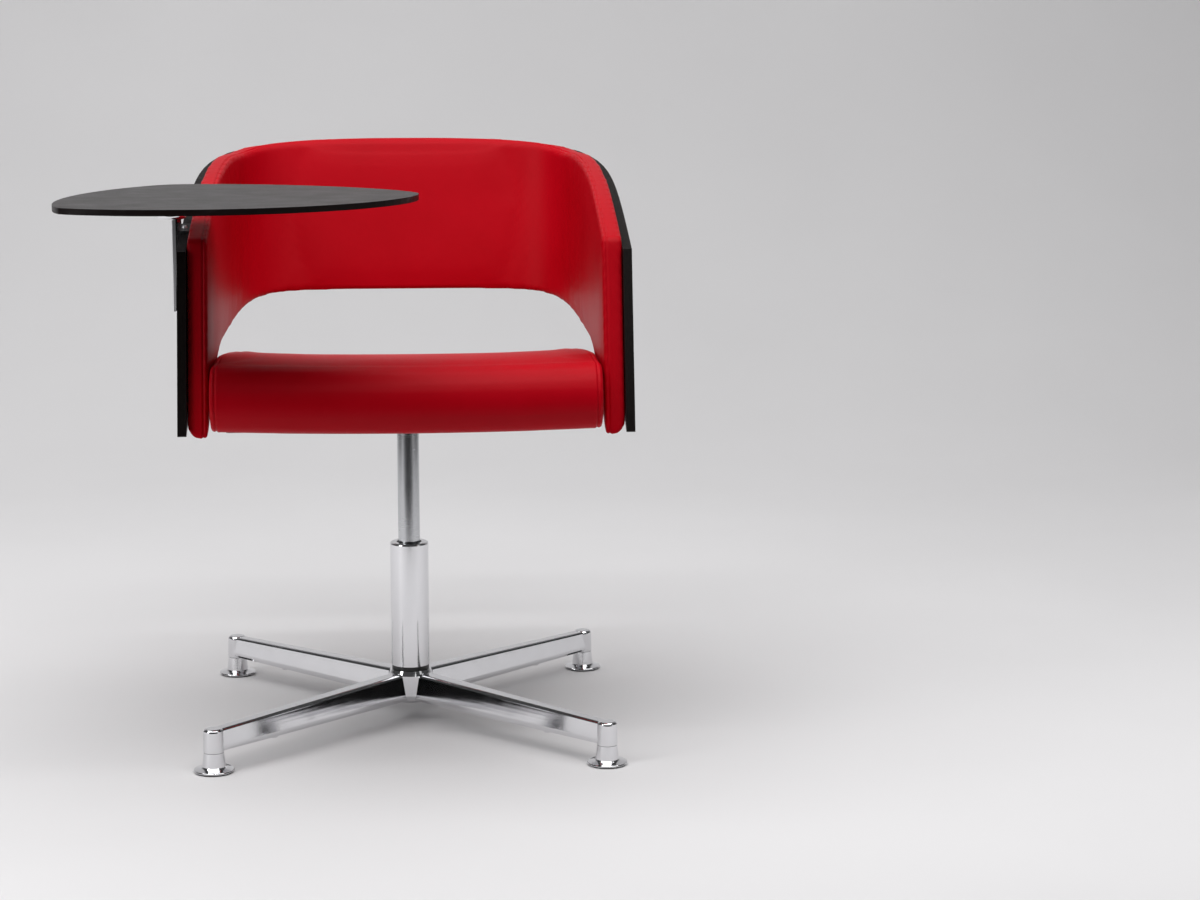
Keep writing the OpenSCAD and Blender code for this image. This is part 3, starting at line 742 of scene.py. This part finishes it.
def softbox(name, place, target, size, energy):
    """A white rectangular light that faces its target."""
    lamp = bpy.data.lights.new(name, "AREA")
    lamp.shape = "RECTANGLE"
    lamp.size, lamp.size_y = size
    lamp.energy = energy
    obj = bpy.data.objects.new(name, lamp)
    bpy.context.scene.collection.objects.link(obj)
    obj.location = place
    obj.rotation_euler = (Vector(target) - Vector(place)).to_track_quat("-Z", "Y").to_euler()


softbox("overhead", (-0.2, -0.8, 3.6), (-0.1, -0.4, 0.4), (6.0, 4.6), 188)
softbox("strip_top", (0.0, -1.35, 3.2), (0.0, -0.4, 0.5), (3.2, 0.22), 22)
softbox("key_right", (3.0, -1.6, 2.0), (0.0, 0.0, 0.5), (0.8, 1.8), 3)
softbox("strip_left", (-2.6, -1.7, 1.7), (0.0, 0.0, 0.4), (0.9, 2.0), 22)
softbox("backdrop", (0.0, 1.2, 3.9), (0.0, 3.6, 1.2), (4.0, 1.0), 10)


def upright(start, end, height):
    """Corners of a card that stands on the floor between two places."""
    (x0, y0), (x1, y1) = start, end
    return [(x0, y0, 0.0), (x1, y1, 0.0), (x1, y1, height), (x0, y0, height)]


def card(name, seen_by, corners):
    """A black card that only reflections, or only the shading of dull surfaces, can see."""
    sheet = new_piece(name, corners, [(0, 1, 2, 3)], CARD_BLACK.material)
    sheet.visible_camera = sheet.visible_shadow = False
    sheet.visible_diffuse = seen_by == "diffuse"
    sheet.visible_glossy = seen_by == "glossy"


CARD_BLACK = Shade("flag_black_look")
CARD_BLACK.put(Base_Color=(0.004, 0.004, 0.004, 1), Roughness=1.0, Specular_IOR_Level=0.0)
for name, x in (("flag_left", -2.0), ("flag_right", 2.0)):
    card(name, "glossy", upright((x, -2.6), (x, 1.9), 0.32))
card("flag_front", "glossy", upright((-1.6, -3.3), (2.2, -3.3), 1.3))
card("flag_floor", "glossy",
     [(-1.6, -4.2, 0.004), (1.6, -4.2, 0.004), (1.6, -1.15, 0.004), (-1.6, -1.15, 0.004)])
card("fill_card", "diffuse", upright((-1.2, -1.0), (1.2, -1.0), 0.46))

world = bpy.data.worlds.new("studio_world")
bpy.context.scene.world = world
world.use_nodes = True
sky = world.node_tree.nodes["Background"].inputs
sky["Color"].default_value = (0.86, 0.87, 0.88, 1)
sky["Strength"].default_value = 0.07

# The camera of the front view, solved from the equal legs and the vertical column.
EYE, GAZE, FOCAL_MM = (0.0035, -3.510, 0.957), (0.0690, 0.9832, -0.1691), 82.07
camera_data = bpy.data.cameras.new("camera")
camera_data.lens = FOCAL_MM
camera_data.sensor_width = 36.0
camera_data.clip_end = 60.0
camera = bpy.data.objects.new("camera", camera_data)
bpy.context.scene.collection.objects.link(camera)
camera.location = EYE
camera.rotation_euler = Vector(GAZE).to_track_quat("-Z", "Y").to_euler()
bpy.context.scene.camera = camera
bpy.context.scene.view_settings.view_transform = "Standard"
